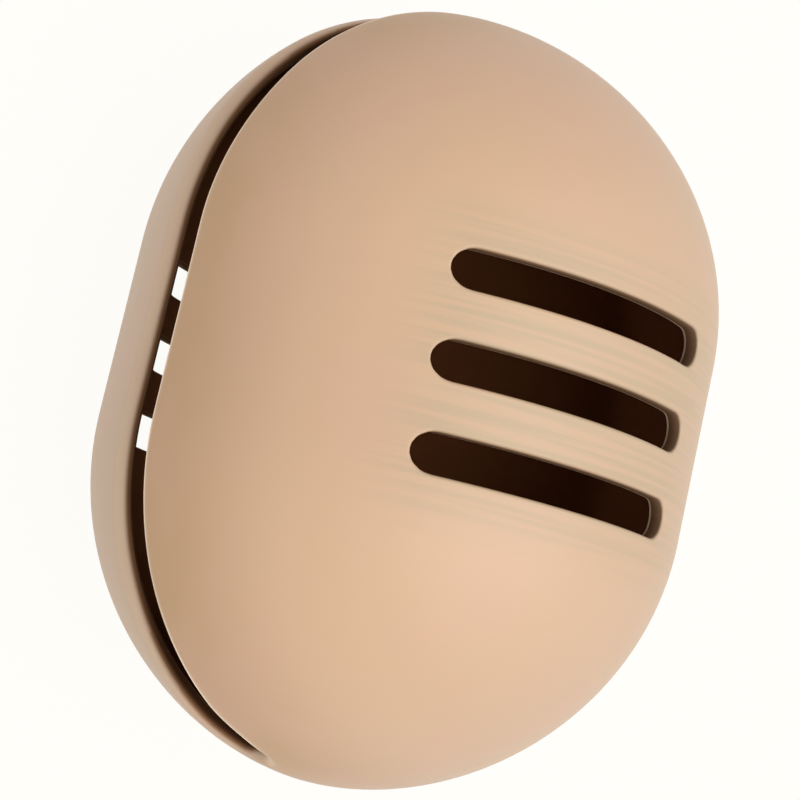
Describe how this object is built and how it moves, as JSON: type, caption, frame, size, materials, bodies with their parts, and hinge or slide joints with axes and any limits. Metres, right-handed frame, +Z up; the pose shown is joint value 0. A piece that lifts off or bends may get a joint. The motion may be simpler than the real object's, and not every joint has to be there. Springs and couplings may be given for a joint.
{
  "type": "makeup sponge case",
  "caption": "Soft silicone pill-shaped case for a makeup sponge, with a mouth slit along one side and vents through both faces.",
  "frame": {"origin": "middle of the case's box at the small flat foot that it lies on", "axes": "+Y along the length, +Z up through the vented faces, -X towards the mouth, +X towards the flexing wall"},
  "size_m": [0.0684, 0.0888, 0.0675],
  "materials": {
    "silicone": "matte beige silicone rubber"
  },
  "bodies": {
    "rear_half": {"rear_shell": "silicone", "hinge_wall": "silicone"},
    "front_half": {"front_shell": "silicone"}
  },
  "joints": [
    {"name": "mouth_hinge", "type": "hinge", "parent": "rear_half", "child": "front_half", "pos_m": [0.0344, 0, 0.0335], "axis": [0, 1, 0], "range_deg": [-3.2, 20], "stiffness_Nm_per_rad": 0.4, "deforming": ["hinge_wall"]}
  ]
}
